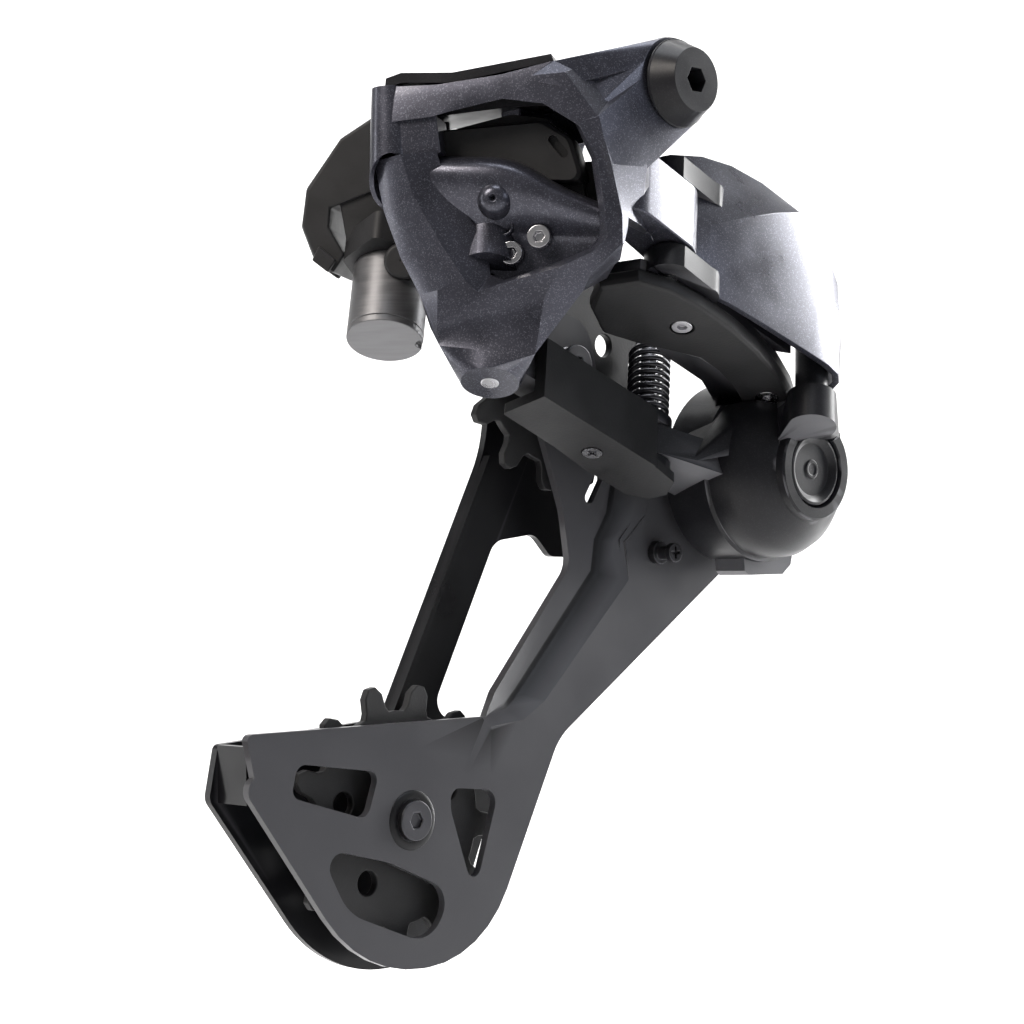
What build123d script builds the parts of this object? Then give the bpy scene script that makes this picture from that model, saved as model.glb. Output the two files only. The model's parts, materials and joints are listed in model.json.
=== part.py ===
from build123d import *
import os
from math import cos, sin, radians, sqrt, pi

# Rear bicycle derailleur.  Millimetres.  +X points to the front of the bike, +Y to the wheel side, +Z up.
# The origin is on the mounting axle, at the outer face of the dropout hanger.

# ---------------------------------------------------------------- driving dimensions
RUN = 0.05                     # radial running clearance of a pin in its bore
GAP = 0.3                      # gap between parts of different bodies

AXLE_R = 5.0                   # M10 x 1 mounting thread
SHANK_R = 4.3                  # plain shank inside the bushing
THREAD_LENGTH = 9.0
HEX_5 = 5.0 / sqrt(3)          # circumradius of a 5 mm hexagon socket
HEX_3 = 3.0 / sqrt(3)
HEX_2 = 2.0 / sqrt(3)

LINK_LENGTH = 51.0             # pivot to pivot, both links
LINK_SLOPE = 22.66             # dip of the links towards the front, degrees
PIN_LEAN = 16.26               # lean of the four pivot pins towards the wheel, degrees
INNER_B = (-31.7, 10.0, -59.9)  # inner body-side pivot, foot of the pin
OUTER_OFFSET = (21.5, -30.0)   # outer pivots from the inner pivots, along and across the links
PIN_R = 2.0
LUG_R = 5.6

P_AXIS = (49.6, -81.2)         # cage pivot, x and z
GUIDE = (2.6, -57.2)           # guide pulley, x and z
TENSION = (-47.5, -154.5)      # tension pulley, x and z
PULLEY_Y = 25.0
PITCH = 12.7
TEETH = 13
TOOTH_WIDTH = 2.0
PITCH_R = PITCH / (2 * sin(pi / TEETH))
TIP_R = PITCH_R + 1.85         # tips of the pulley teeth
PULLEY_ROOM_R = TIP_R + 0.8
BEARING_R = 8.5
PLATE = 1.8                    # cage plate thickness
OUTER_PLATE_Y = 19.4           # outboard face of the outer cage plate
INNER_PLATE_Y = 31.4           # outboard face of the inner cage plate

# ---------------------------------------------------------------- frames of reference
LINK_X = Vector(cos(radians(LINK_SLOPE)), 0, -sin(radians(LINK_SLOPE)))
PIN_Z = Vector(
    sin(radians(LINK_SLOPE)) * cos(radians(PIN_LEAN)),
    sin(radians(PIN_LEAN)),
    cos(radians(LINK_SLOPE)) * cos(radians(PIN_LEAN)),
)
links = Plane(origin=INNER_B, x_dir=LINK_X, z_dir=PIN_Z)       # x along the links, z along the pins
FACE_TURN = 54.07                                              # turn of the rear face from straight back
FACE_X = Vector(cos(radians(FACE_TURN)), -sin(radians(FACE_TURN)), 0)
FACE_Z = Vector(-sin(radians(FACE_TURN)), -cos(radians(FACE_TURN)), 0)
face = Plane(origin=(INNER_B[0], INNER_B[1], 0), x_dir=FACE_X, z_dir=FACE_Z)
side = Plane(origin=(0, 0, 0), x_dir=(1, 0, 0), z_dir=(0, -1, 0))   # seen from the drive side

INNER_P = (LINK_LENGTH, 0.0)
OUTER_B = OUTER_OFFSET
OUTER_P = (OUTER_OFFSET[0] + LINK_LENGTH, OUTER_OFFSET[1])


# ---------------------------------------------------------------- helpers
def prism(frame, points, low, high, radius=0):
    """Straight prism on a polygon given in the frame's own x and y."""
    sketch = Polygon(*points, align=None)
    if radius:
        sketch = fillet(sketch.vertices(), radius)
    return frame * Pos(0, 0, low) * extrude(sketch, amount=high - low, dir=(0, 0, 1))


def rounded(corners):
    """Face inside a closed outline of corners (x, y, rounding radius)."""
    points = [(x, y) for x, y, radius in corners]
    radii = [radius for x, y, radius in corners]
    return make_face(FilletPolyline(*points, radius=radii, close=True))


def rounded_plate(corners, y0, y1):
    """Flat plate square to Y, from y0 (outboard) to y1 (inboard)."""
    return side * Pos(0, 0, -y1) * extrude(rounded(corners), amount=y1 - y0, dir=(0, 0, 1))


def rod(frame, center, radius, low, high):
    """Round bar along the frame's z."""
    return frame * Pos(center[0], center[1], low) * extrude(Circle(radius), amount=high - low)


def ring(frame, center, outer, inner, low, high):
    sketch = Circle(outer) - Circle(inner)
    return frame * Pos(center[0], center[1], low) * extrude(sketch, amount=high - low)


def slab(frame, circles, low, high):
    """Straight bar with round ends: the hull of two circles (x, y, radius)."""
    hull = make_hull([e for x, y, r in circles for e in (Pos(x, y) * Circle(r)).edges()])
    return frame * Pos(0, 0, low) * extrude(hull, amount=high - low, dir=(0, 0, 1))


def across(center, radius, y0, y1):
    """Round bar along Y, from y0 (outboard) to y1 (inboard)."""
    return rod(side, center, radius, -y1, -y0)


def across_ring(center, outer, inner, y0, y1):
    return ring(side, center, outer, inner, -y1, -y0)


def cone(frame, center, low_radius, high_radius, low, high):
    start = frame * Pos(center[0], center[1], low) * Circle(low_radius)
    end = frame * Pos(center[0], center[1], high) * Circle(high_radius)
    return loft([start, end])


def hexagon(frame, center, circumradius, low, high):
    sketch = RegularPolygon(circumradius, 6)
    return frame * Pos(center[0], center[1], low) * extrude(sketch, amount=high - low)


def screw(frame, center, radius, head_height, stem_radius, stem, top, socket):
    """Cap screw whose head top is at `top`, with the stem going down the frame's z."""
    body = rod(frame, center, radius, top - head_height, top)
    body += rod(frame, center, stem_radius, top - head_height - stem, top - head_height)
    return body - hexagon(frame, center, socket, top - 0.6 * head_height, top + 1)


nodes = {}


def node(name, shape):
    nodes[name] = shape


# ---------------------------------------------------------------- hanger side
AXLE_FACE = -21.0
COLLAR_Y = -16.0
BARREL_OUT = -14.7
BARREL_IN = -1.5
BARREL_R = 10.0
BUSH_R = 6.5


def mounting_axle():
    head = cone(side, (0, 0), 9.3, 6.8, -COLLAR_Y, -AXLE_FACE)
    rings = across((0, 0), 9.5, COLLAR_Y, -15.5) + across((0, 0), 8.9, -15.5, BARREL_OUT - GAP)
    shank = across((0, 0), SHANK_R, BARREL_OUT - GAP, 0) + across((0, 0), AXLE_R, 0, THREAD_LENGTH)
    socket = hexagon(side, (0, 0), HEX_5, 15.0, 25.0)
    return head + rings + shank - socket


def axle_stop_plate():
    disc = across_ring((0, 0), 9.5, AXLE_R + GAP, -1.2, 0)
    arm = prism(side, [(-17, -5), (-17, 3), (-6, 6), (-6, -7)], 0.15, 1.2) - across((0, 0), 9.0, -2, 1)
    tab = prism(side, [(-17, -5), (-17, 3), (-15.5, 3.4), (-15.5, -5.4)], -5, 1.2)
    return disc + arm + tab


# ---------------------------------------------------------------- body side
hanger_space = across((0, 0), 15.5, -0.3, 80) + across((0, 0), 19.0, -1.6, 6.5)
outer_sweep = rod(links, OUTER_B, 20.5, 17.4, 27.3)
FRONT = 8.0


def knuckle_frame():
    arch = prism(face, [(-23.3, -7.5), (-20.7, -1.2), (-16.8, -0.3), (-6.2, -0.9), (17.1, 2.8), (24, 4.6),
                        (25, -9.8), (28.6, -27.8), (24.9, -27.9), (23, -17.5), (20, -10.5), (12.8, -5.6),
                        (4.4, -4.6), (-9, -7.6)], -4, FRONT)
    wall = prism(side, [(-23.4, 4.6), (-6.7, 7.6), (-1, 9.6), (6, 4), (-3.6, -11), (-5.7, -17), (-7.6, -28),
                        (-5, -33.4), (-14, -33.4), (-22, -28)], 9.0, 15.0)
    barrel = across((0, 0), BARREL_R, BARREL_OUT, BARREL_IN)
    neck = prism(side, [(-16, 6), (0, 9.5), (0, -9.5), (-14, -12)], 2.0, 12.0)
    lug = slab(links, [(*OUTER_B, LUG_R), (7, -31, 5.0)], 27.6, 44.0)
    body = arch + wall + barrel + neck + lug
    body -= across((0, 0), BUSH_R, -20, 2)
    body -= rod(links, OUTER_B, PIN_R, 20, 60)
    return body - hanger_space - outer_sweep


SEAM = -28.3


def knuckle_lower():
    left = prism(face, [(-23.3, -8.0), (-23.5, -14.3), (-23.2, -22.7), (-11.2, -48.7), (-9.8, -52.5), (-6, -57),
                        (10.8, -57), (14.1, -53.3), (20.9, -45.7), (29, -39), (28.9, SEAM), (24.9, SEAM),
                        (24.8, -34.1), (22.7, -36.7), (16.4, -39.3), (5.9, -42.7), (1.6, -42.1), (-2.5, -39.2),
                        (-11.8, -22.2), (-15, -16.8), (-14.8, -8.0)], 1.5, FRONT)
    floor = prism(face, [(-12.5, -21), (-8, -14), (6.2, -14.6), (12.5, -21.2), (24.6, -27), (24.6, -34),
                         (22.5, -36.5), (16.2, -39.1), (5.8, -42.5), (1.7, -42), (-2.3, -39)], -1.5, 2.5)
    boss = rod(Plane(origin=(0, 0, 0)), face_point(-19.5, 2.5), 4.6, -24, -8)
    body = left + floor + boss
    tab = slab(links, [(0, 0, 6.0), (-6, -4, 6.0)], -4.0, -GAP)
    post = slab(links, [(0, 0, 6.0), (-9, -6, 6.0)], 17.4, 25.5)
    body += tab + post
    body -= rod(links, (0, 0), PIN_R, -10, 40)
    body -= rod(links, (0, 0), 6.2, -GAP, 17.4)
    body -= link_sweep()
    for spot in LIMIT_SPOTS:
        body -= rod(face, spot, 1.5, -10, 20)
        body -= rod(face, spot, 2.6, 1.2, 20)
    return body - outer_sweep - knuckle_frame() - guide_sweep()


def guide_sweep():
    """Room that the guide pulley needs as the links swing."""
    room = None
    for swing in range(-4, 37, 4):
        start = links.origin + links.x_dir * LINK_LENGTH
        turned = Plane(origin=links.origin, x_dir=links.x_dir, z_dir=links.z_dir).rotated((0, 0, swing))
        end = turned.origin + turned.x_dir * LINK_LENGTH
        disc = across(GUIDE, PULLEY_ROOM_R, PULLEY_Y - 1.8, PULLEY_Y + 1.8).translate(end - start)
        room = disc if room is None else room + disc
    return room


def face_point(s, t):
    """x and y of a spot on the rear face frame."""
    spot = face.origin + FACE_X * s + FACE_Z * t
    return (spot.X, spot.Y)


LIMIT_SPOTS = [(5.2, -36.4), (11.2, -33.2)]


def link_sweep():
    """Room that the inner link needs as it swings."""
    start, end = -12, 36
    corners = [(0, 0)]
    for i in range(7):
        angle = radians(start - 20 + (end + 20 - start + 12) * i / 6)
        corners.append((40 * cos(angle), 40 * sin(angle)))
    return prism(links, corners, -6, 17.4) - rod(links, (0, 0), 6.0, -8, -GAP)


def battery_housing():
    outline = [(-10, -27), (-10, -9), (4.4, -6), (12, -7.2), (18, -12), (20.5, -27)]
    tub = prism(face, outline, -20, -4.3)
    room = prism(face, [(-8.5, -25.5), (-8.5, -9.8), (4.4, -7.6), (11, -8.8), (16.6, -13), (18.9, -25.5)], -19, -5.8)
    slot = slab(face, [(11.5, -12.2, 0.9), (15.5, -14.2, 0.9)], -5.0, -4)
    return tub - room - slot - hanger_space


def battery():
    cell = prism(face, [(-8, -25), (-8, -10.2), (4.4, -8), (10.6, -9.2), (16, -13.4), (18.3, -25)], -18.5, -6.3)
    return cell - across((0, 0), 17.4, -3, 80)


def battery_cover():
    plate = prism(face, [(-20.5, -1.0), (-16.8, -0.2), (-6.2, -0.8), (15.5, 2.6), (15, 4.2), (-6, 1.4), (-17, 1.9),
                         (-20.3, 0.9)], -20, 6.5)
    roof = prism(face, [(-14, -5.8), (-14, -0.1), (-6.2, -0.4), (15, 2.9), (15, -4.6), (4.4, -4.4)], -20, -4.2)
    body = plate + roof - hanger_space
    for low in LATCH_EARS:
        body += prism(face, [(-5.5, 0.5), (-5.5, 4.6), (-2, 4.9), (-2, 0.9)], low, low + 1.2)
    return body - rod(face, LATCH_PIVOT, 0.8 + RUN, -16, -6)


LATCH_PIVOT = (-3.7, 3.4)
LATCH_EARS = (-14.6, -8.6)


def battery_latch():
    lever = prism(face, [(-4.6, 2.3), (6, 3.5), (7.5, 5.2), (6, 6.2), (3.5, 5.1), (0, 4.7), (-4.6, 4.6)], -13.1, -8.9)
    return lever + rod(face, LATCH_PIVOT, 0.8, LATCH_EARS[0], LATCH_EARS[1] + 1.2)


# motor unit: the can stands parallel to the pivot pins
MOTOR = (-12.4, 20.4)
MOTOR_R = 8.3


def motor_can():
    return rod(links, MOTOR, MOTOR_R, 9.6, 26.0)


def motor_end_cap():
    cap = rod(links, MOTOR, MOTOR_R, 8.0, 9.6)
    notch = rod(links, (MOTOR[0] + 6.2, MOTOR[1] - 5.6), 1.7, 7, 9.0)
    return cap - notch


def gearbox_case():
    outline = [(-24, 14), (-22, 26), (-10, 31), (2, 24), (5, 10), (5, 5.5), (-5, 5.5), (-13, 8)]
    case = prism(links, outline, 26.0, 33.0, 2)
    post = rod(links, (1.4, 15.6), 3.4, 17, 26)
    return case + post - guide_sweep()


def motor_shell():
    outline = [(-25.5, -2), (-34.8, -7.7), (-42.9, -18.4), (-44.2, -27.2), (-41.3, -34.4), (-36.3, -38.2),
               (-33.5, -33.8), (-37.4, -27.5), (-37.3, -23.5), (-28.2, -20.8), (-25.0, -20.0)]
    shell = prism(face, outline, -26, -8, 0.8)
    shell -= rod(links, MOTOR, MOTOR_R + 0.2, 0, 60)
    shell -= rod(BUTTON_FACE, (0, 0), 1.5 + GAP, -3, 2)
    return shell - gearbox_case() - charge_port() - guide_sweep()


BUTTON_FACE = face * Plane(origin=(-38.8, -36.3, -20), x_dir=(0, 0, 1), z_dir=(-0.605, -0.796, 0))


def function_button():
    return rod(BUTTON_FACE, (0, 0), 1.5, -2.0, 0.7)


def charge_port():
    return prism(face, [(-40.5, -35.0), (-37.0, -37.8), (-35.2, -35.2), (-38.9, -32.0)], -8, -6.5)


def control_board():
    return prism(face, [(-24.6, -19.5), (-24.6, -7), (-15, -7), (-15, -19.5)], -21, -19.6)


def limit_screws():
    bodies = []
    for spot in LIMIT_SPOTS:
        bodies.append(screw(face, spot, 2.5, 2.2, 1.45, 8, 3.6, HEX_2))
    return bodies


# ---------------------------------------------------------------- links
def crescent(inset, low, high):
    k = inset
    return prism(links, [(15.5 + k, -12.5 - k), (11 + k, -20), (14.5 + k, -28 + k), (29.5, -32 + k), (52, -31 + k),
                         (77.5 - k, -22 + k), (84.5 - k, -17), (83 - k, -11 - k), (76.5, -10 - k),
                         (66.5, -15.5 - k), (53.5, -19 - k), (41.5, -17 - k), (31.5, -11 - k), (24.5, -8 - k)],
                 low, high, 1.5)


BUMPER_SPOTS = [(34.0, -23.5), (68.5, -20.5)]
BUMPER_LOW = 18.0
BUMPER_TOP = 21.6              # the panel's foot starts here


def outer_link_panel():
    band = [(23, -33), (35, -35.6), (48, -37), (60, -36.4), (67.3, -34.6), (66.6, -31.4), (59.6, -33.2),
            (48, -33.8), (35.5, -32.4), (29.2, -30.4), (28.6, -27.0), (27.2, -27.0), (23, -30)]
    wall = prism(links, band, BUMPER_TOP, 62)
    outline = [(12, 20), (70, 20), (70, 53), (62, 61), (44, 62), (30, 59), (14, 51), (14, 44.4), (28.5, 44.4),
               (28.5, 27.2), (14, 27.2)]
    trim = Plane(origin=links.origin, x_dir=LINK_X, z_dir=links.y_dir * -1)
    wall &= prism(trim, outline, 0, 60)
    base = crescent(0.8, BUMPER_TOP, 24.6)
    low_arm = slab(links, [(*OUTER_B, LUG_R), (31, -31, 4)], BUMPER_TOP, 27.0)
    top_arm = slab(links, [(*OUTER_B, LUG_R), (32, -33, 3)], 44.4, 50)
    far_arm = slab(links, [(*OUTER_P, LUG_R), (61, -34.5, 2)], 31.6, 38)
    body = wall + base + low_arm + top_arm + far_arm
    body -= rod(links, OUTER_B, PIN_R + RUN, 10, 60)
    body -= rod(links, OUTER_P, PIN_R + RUN, 10, 60)
    body -= rod(links, OUTER_P, LUG_R + GAP, 10, 31.6)
    for spot in BUMPER_SPOTS:
        body -= rod(links, spot, 1.25, 20, 30)
    return body


def bumper():
    body = crescent(0, BUMPER_LOW, BUMPER_TOP)
    body -= rod(links, OUTER_P, LUG_R + GAP, 10, 31.6)
    body -= rod(links, OUTER_B, PIN_R + 1, 10, 31.6)
    for spot in BUMPER_SPOTS:
        body -= rod(links, spot, 1.25, 10, 30)
        body -= rod(links, spot, 2.6, 10, BUMPER_LOW + 1.8)
    return body


def bumper_screws():
    bodies = []
    down = Plane(origin=links.origin, x_dir=LINK_X, z_dir=PIN_Z * -1)
    for spot in BUMPER_SPOTS:
        bodies.append(screw(down, (spot[0], -spot[1]), 2.3, 1.6, 1.2, 4.5, -BUMPER_LOW - 0.2, HEX_2))
    return bodies


def inner_link_arm():
    barrel = rod(links, (0, 0), LUG_R, 0, 15)
    web = prism(links, [(0, -4), (34, -4), (40, -5.4), (LINK_LENGTH, -LUG_R), (LINK_LENGTH, LUG_R), (38, 5.4),
                        (30, 3), (0, 3.6)], 0, 11)
    low = slab(links, [(*INNER_P, LUG_R), (36, 0, 4.6)], -3.0, 0)
    top = slab(links, [(*INNER_P, LUG_R), (36, 0, 4.6)], 8, 11)
    body = barrel + web + low + top
    mouth = rod(links, INNER_P, 9.0, -GAP, 8.2)
    body -= mouth
    body -= rod(links, (0, 0), PIN_R + RUN, -10, 40)
    body -= rod(links, INNER_P, PIN_R, -10, 40)
    return body - rod(links, GUARD_SPOT, 1.0, -10, 4)


GUARD_SPOT = (33.0, 0.0)


def inner_link_guard():
    sole = prism(links, [(9, -6), (34, -6.6), (47, -7), (54, -6), (57.4, -1), (56.5, 3.5), (52, 6.2), (38, 6.2),
                         (26, 5), (9, 4.5)], -5.6, -3.2, 0.8)
    skirt = prism(links, [(9, -7.4), (46, -7.4), (46, -6.1), (39, -6.0), (33, -4.4), (9, -4.4)], -5.6, 9)
    body = sole + skirt
    return body - rod(links, GUARD_SPOT, 1.1, -10, 0) - rod(links, GUARD_SPOT, 2.4, -10, -4.4)


def guard_screw():
    down = Plane(origin=links.origin, x_dir=LINK_X, z_dir=PIN_Z * -1)
    spot = (GUARD_SPOT[0], -GUARD_SPOT[1])
    body = rod(down, spot, 2.2, 4.4, 5.8) + rod(down, spot, 0.95, -3.8, 4.4)
    for turn in (0, 90):
        body -= down * Pos(spot[0], spot[1], 5.5) * Rot(0, 0, turn) * Box(2.6, 0.6, 1.2)
    return body


SPRING_PITCH = 1.75
SPRING_TURNS = 10


def saver_spring():
    low, height = 12.0, SPRING_PITCH * SPRING_TURNS
    path = Helix(pitch=SPRING_PITCH, height=height, radius=4.3)
    start = Plane(origin=path @ 0, z_dir=path % 0)
    coil = sweep(start * Circle(0.6), path=path, is_frenet=True)
    return links * Pos(*INNER_P, low) * coil


def inner_p_pin():
    return rod(links, INNER_P, PIN_R, -3.0, 31.5) + rod(links, INNER_P, 3.4, 31.0, 32.0)


def inner_b_pin():
    return rod(links, (0, 0), PIN_R, -4.2, 25.5)


def outer_b_pin():
    return rod(links, OUTER_B, PIN_R, BUMPER_TOP, 50.5)


def outer_p_pin():
    return rod(links, OUTER_P, PIN_R, 17, 38.6)


# ---------------------------------------------------------------- cage-side knuckle
DRUM_R = 21.0
DRUM_IN = 16.6
BULGE_Y = -0.5
RING_Y = -9.0
RING_R = 11.8
CAP_Y = -10.4
SHELF = 17.5                   # height of the flat top along the pins
CAGE_AXLE_R = 4.5
SPRING_ROOM_R = 9.2
CLUTCH_R = 8.2
COVER_R = 17.4


def p_knuckle_body():
    drum = across(P_AXIS, DRUM_R, 4, DRUM_IN)
    bulge = cone(side, P_AXIS, DRUM_R - 0.2, DRUM_R - 1.2, -4, -BULGE_Y)
    taper = cone(side, P_AXIS, DRUM_R - 1.2, RING_R + 1.2, -BULGE_Y, -RING_Y)
    nose = across(P_AXIS, RING_R, CAP_Y - 1, RING_Y)
    body = bulge + taper
    body &= links * Pos(80, 0, SHELF - 100) * Box(200, 200, 200)
    body += nose + drum
    body -= rod(links, OUTER_P, 22.3, BUMPER_LOW - GAP, 80)
    ear = slab(links, [(*OUTER_P, LUG_R), (78, -25, LUG_R)], SHELF - 8, SHELF)
    ear += rod(links, OUTER_P, LUG_R, SHELF, 31.3)
    arm = slab(links, [(*INNER_P, LUG_R), (70, -4, 8)], 0, 7.6)
    lug = prism(side, [(43, -98), (43, -105), (59, -105), (62, -98)], -15, -6)
    body += ear + arm + lug
    body -= across(P_AXIS, SPRING_ROOM_R, 4, DRUM_IN - 3)
    body -= across(P_AXIS, CLUTCH_R + RUN, -7.5, 4.1)
    body -= across(P_AXIS, COVER_R, DRUM_IN - 3, DRUM_IN + 1)
    body -= across(P_AXIS, CAGE_AXLE_R + RUN, -20, 30)
    body -= across(P_AXIS, 8.6, CAP_Y - 2, CAP_Y + 1.2)
    body -= rod(links, OUTER_P, PIN_R, 17, 40)
    body -= rod(links, INNER_P, 6.2, 7.6, 40)
    return body - rod(links, INNER_P, PIN_R + GAP, -5, 40)


def knuckle_rear_cover():
    return across_ring(P_AXIS, COVER_R, CAGE_AXLE_R + 0.6, DRUM_IN - 3, DRUM_IN - 0.3)


def cage_spring():
    path = Helix(pitch=2.1, height=7.0, radius=7.6)
    start = Plane(origin=path @ 0, z_dir=path % 0)
    coil = sweep(start * Circle(0.9), path=path, is_frenet=True)
    return Pos(P_AXIS[0], 12.3, P_AXIS[1]) * Rot(90, 0, 0) * coil


def clutch_drum():
    return across_ring(P_AXIS, CLUTCH_R, CAGE_AXLE_R + RUN, -7.4, 3.9)


def pivot_cap():
    cap = across(P_AXIS, 8.4, CAP_Y, CAP_Y + 1.1)
    dish = across(P_AXIS, 6.6, CAP_Y - 1, CAP_Y + 0.35)
    return cap - dish - across(P_AXIS, 1.4, CAP_Y - 1, CAP_Y + 0.8)


# ---------------------------------------------------------------- cage
def cage_axle():
    stem = across(P_AXIS, CAGE_AXLE_R, CAP_Y + 1.5, DRUM_IN + GAP)
    flange = across(P_AXIS, 9.5, DRUM_IN + GAP, OUTER_PLATE_Y)
    return stem + flange + across(P_AXIS, 3.9, OUTER_PLATE_Y, OUTER_PLATE_Y + PLATE)


TENSION_END = [(-4.1, -140.2, 14), (-27.9, -185.6, 26), (-61.3, -185.6, 32), (-91.3, -144.3, 3), (-89.8, -134.0, 1.5)]
OUTER_OUTLINE = TENSION_END + [(-26.5, -133.4, 9), (2.4, -102.5, 6), (0.6, -90.0, 20), (-9.5, -62.0, 10),
                               (-5.0, -46.0, 8), (9.0, -46.0, 8), (14.0, -66.0, 8), (24.0, -78.5, 6),
                               (44.0, -69.5, 8), (64.0, -71.0, 12), (61.0, -98.0, 14)]
WINDOW_REAR = [(-79.2, -147.2, 2), (-77.6, -140.6, 2.5), (-56.2, -143.8, 2), (-59.6, -153.3, 2.5)]
WINDOW_FRONT = [(-36.6, -148.6, 2.4), (-22.6, -150.3, 3), (-30.3, -172.2, 2), (-36.6, -153.5, 8)]
WINDOW_LOW = [(-72.6, -157.8, 3), (-54.0, -162.6, 12), (-36.5, -170.5, 5), (-43.0, -181.0, 7), (-65.0, -172.0, 12)]
STOP_PIN = (28.1, -99.7)
CHAIN_SLOT = [(9.0, -87.0, 1.4), (12.0, -82.5, 1.4)]


def outer_cage_plate():
    body = rounded_plate(OUTER_OUTLINE, OUTER_PLATE_Y, OUTER_PLATE_Y + PLATE)
    for window in (WINDOW_REAR, WINDOW_FRONT, WINDOW_LOW):
        body -= rounded_plate(window, OUTER_PLATE_Y - 5, OUTER_PLATE_Y + 5)
    body -= slab(side, CHAIN_SLOT, -30, -10)
    body += across_ring(TENSION, 6.2, 4.5, OUTER_PLATE_Y - 0.4, OUTER_PLATE_Y)
    body -= across(P_AXIS, 3.9, 10, 30)
    body -= across(GUIDE, 2.5, 10, 30)
    body -= across(TENSION, 2.5, 10, 30)
    return body - across(STOP_PIN, 1.5, 10, 30)


INNER_OUTLINE = [(-10.4, -148.0, 10), (-27.9, -187.0, 26), (-61.3, -187.0, 32), (-90.6, -147.6, 3),
                 (-88.2, -136.6, 1.5), (-44.5, -134.0, 5), (-13.5, -75.5, 30), (-11.5, -50.0, 10), (0.0, -42.0, 9),
                 (13.0, -45.0, 9), (17.0, -62.0, 10), (14.5, -100.4, 3), (6.0, -100.2, 3), (1.0, -95.0, 4),
                 (-11.5, -96.5, 5), (-31.5, -134.5, 4), (-13.0, -136.5, 6)]
INNER_RIM = [(-44.5, -134.0), (-14.5, -77.5), (-13.4, -78.0), (-43.4, -134.4)]


def inner_cage_plate():
    body = rounded_plate(INNER_OUTLINE, INNER_PLATE_Y, INNER_PLATE_Y + PLATE)
    body += prism(side, INNER_RIM, -INNER_PLATE_Y, 2.2 - INNER_PLATE_Y)
    body += Pos(-87.6, (22.0 + INNER_PLATE_Y) / 2, -142.4) * Box(1.6, INNER_PLATE_Y - 22.0, 11.6)
    body -= across(GUIDE, 2.5, 10, 40)
    return body - across(TENSION, 2.5, 10, 40)


def stop_pin():
    body = across(STOP_PIN, 1.5, OUTER_PLATE_Y, OUTER_PLATE_Y + PLATE)
    body += across(STOP_PIN, 2.6, OUTER_PLATE_Y - 2, OUTER_PLATE_Y)
    body += across(STOP_PIN, 1.6, OUTER_PLATE_Y - 5, OUTER_PLATE_Y - 2)
    body += across(STOP_PIN, 2.2, OUTER_PLATE_Y - 6.5, OUTER_PLATE_Y - 5)
    for turn in (0, 90):
        body -= side * Pos(STOP_PIN[0], STOP_PIN[1], 6.5 - OUTER_PLATE_Y) * Rot(0, 0, turn) * Box(2.8, 0.6, 1.6)
    return body


def pulley_bolt(center):
    head = across(center, 4.25, OUTER_PLATE_Y - 1.6, OUTER_PLATE_Y)
    shank = across(center, 2.5, OUTER_PLATE_Y, INNER_PLATE_Y + PLATE + 0.8)
    return head + shank - hexagon(side, center, HEX_3, 0.8 - OUTER_PLATE_Y, 3 - OUTER_PLATE_Y)


def pulley_sleeve(center):
    return across_ring(center, 4.0, 2.5, OUTER_PLATE_Y + PLATE, INNER_PLATE_Y)


def toothed_wheel(center, phase):
    """Chain pulley: rollers of 7.75 mm sit between the teeth."""
    root = PITCH_R - 3.95
    tip = TIP_R
    disc = Circle(root)
    half = PITCH / 2 - 3.95
    tooth = Polygon((root - 1.0, -half - 1.4), (root + 1.0, -half - 0.3), (PITCH_R, -half), (tip, -1.0), (tip, 1.0),
                    (PITCH_R, half), (root + 1.0, half + 0.3), (root - 1.0, half + 1.4), align=None)
    for i in range(TEETH):
        disc += Rot(0, 0, phase + 360 / TEETH * i) * tooth
    disc -= Circle(BEARING_R)
    for i in range(5):
        disc -= Rot(0, 0, 72 * i + 20) * Pos(15.2, 0) * Circle(2.6)
    return side * Pos(center[0], center[1], -PULLEY_Y - TOOTH_WIDTH / 2) * extrude(disc, amount=TOOTH_WIDTH)


def pulley_bearing(center):
    return across_ring(center, BEARING_R, 4.0 + RUN, PULLEY_Y - 2.5, PULLEY_Y + 2.5)


# ---------------------------------------------------------------- build
node("mounting_axle", mounting_axle())
node("axle_stop_plate", axle_stop_plate())
node("knuckle_frame", knuckle_frame())
node("knuckle_lower_housing", knuckle_lower())
node("axle_bushing", across_ring((0, 0), BUSH_R, SHANK_R + RUN, BARREL_OUT, BARREL_IN))
node("battery_housing", battery_housing())
node("battery", battery())
node("battery_cover", battery_cover())
node("battery_latch", battery_latch())
node("function_button", function_button())
node("motor_can", motor_can())
node("motor_end_cap", motor_end_cap())
node("gearbox_case", gearbox_case())
node("motor_shell", motor_shell())
node("charge_port", charge_port())
node("control_board", control_board())
node("limit_screws", Compound(limit_screws()))
node("outer_link_panel", outer_link_panel())
node("bumper", bumper())
node("bumper_screws", Compound(bumper_screws()))
node("inner_link_arm", inner_link_arm())
node("inner_link_guard", inner_link_guard())
node("guard_screw", guard_screw())
node("saver_spring", saver_spring())
node("inner_p_pin", inner_p_pin())
node("inner_b_pin", inner_b_pin())
node("outer_b_pin", outer_b_pin())
node("outer_p_pin", outer_p_pin())
node("p_knuckle_body", p_knuckle_body())
node("knuckle_rear_cover", knuckle_rear_cover())
node("cage_spring", cage_spring())
node("clutch_drum", clutch_drum())
node("pivot_cap", pivot_cap())
node("cage_axle", cage_axle())
node("outer_cage_plate", outer_cage_plate())
node("inner_cage_plate", inner_cage_plate())
node("cage_stop_pin", stop_pin())
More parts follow.
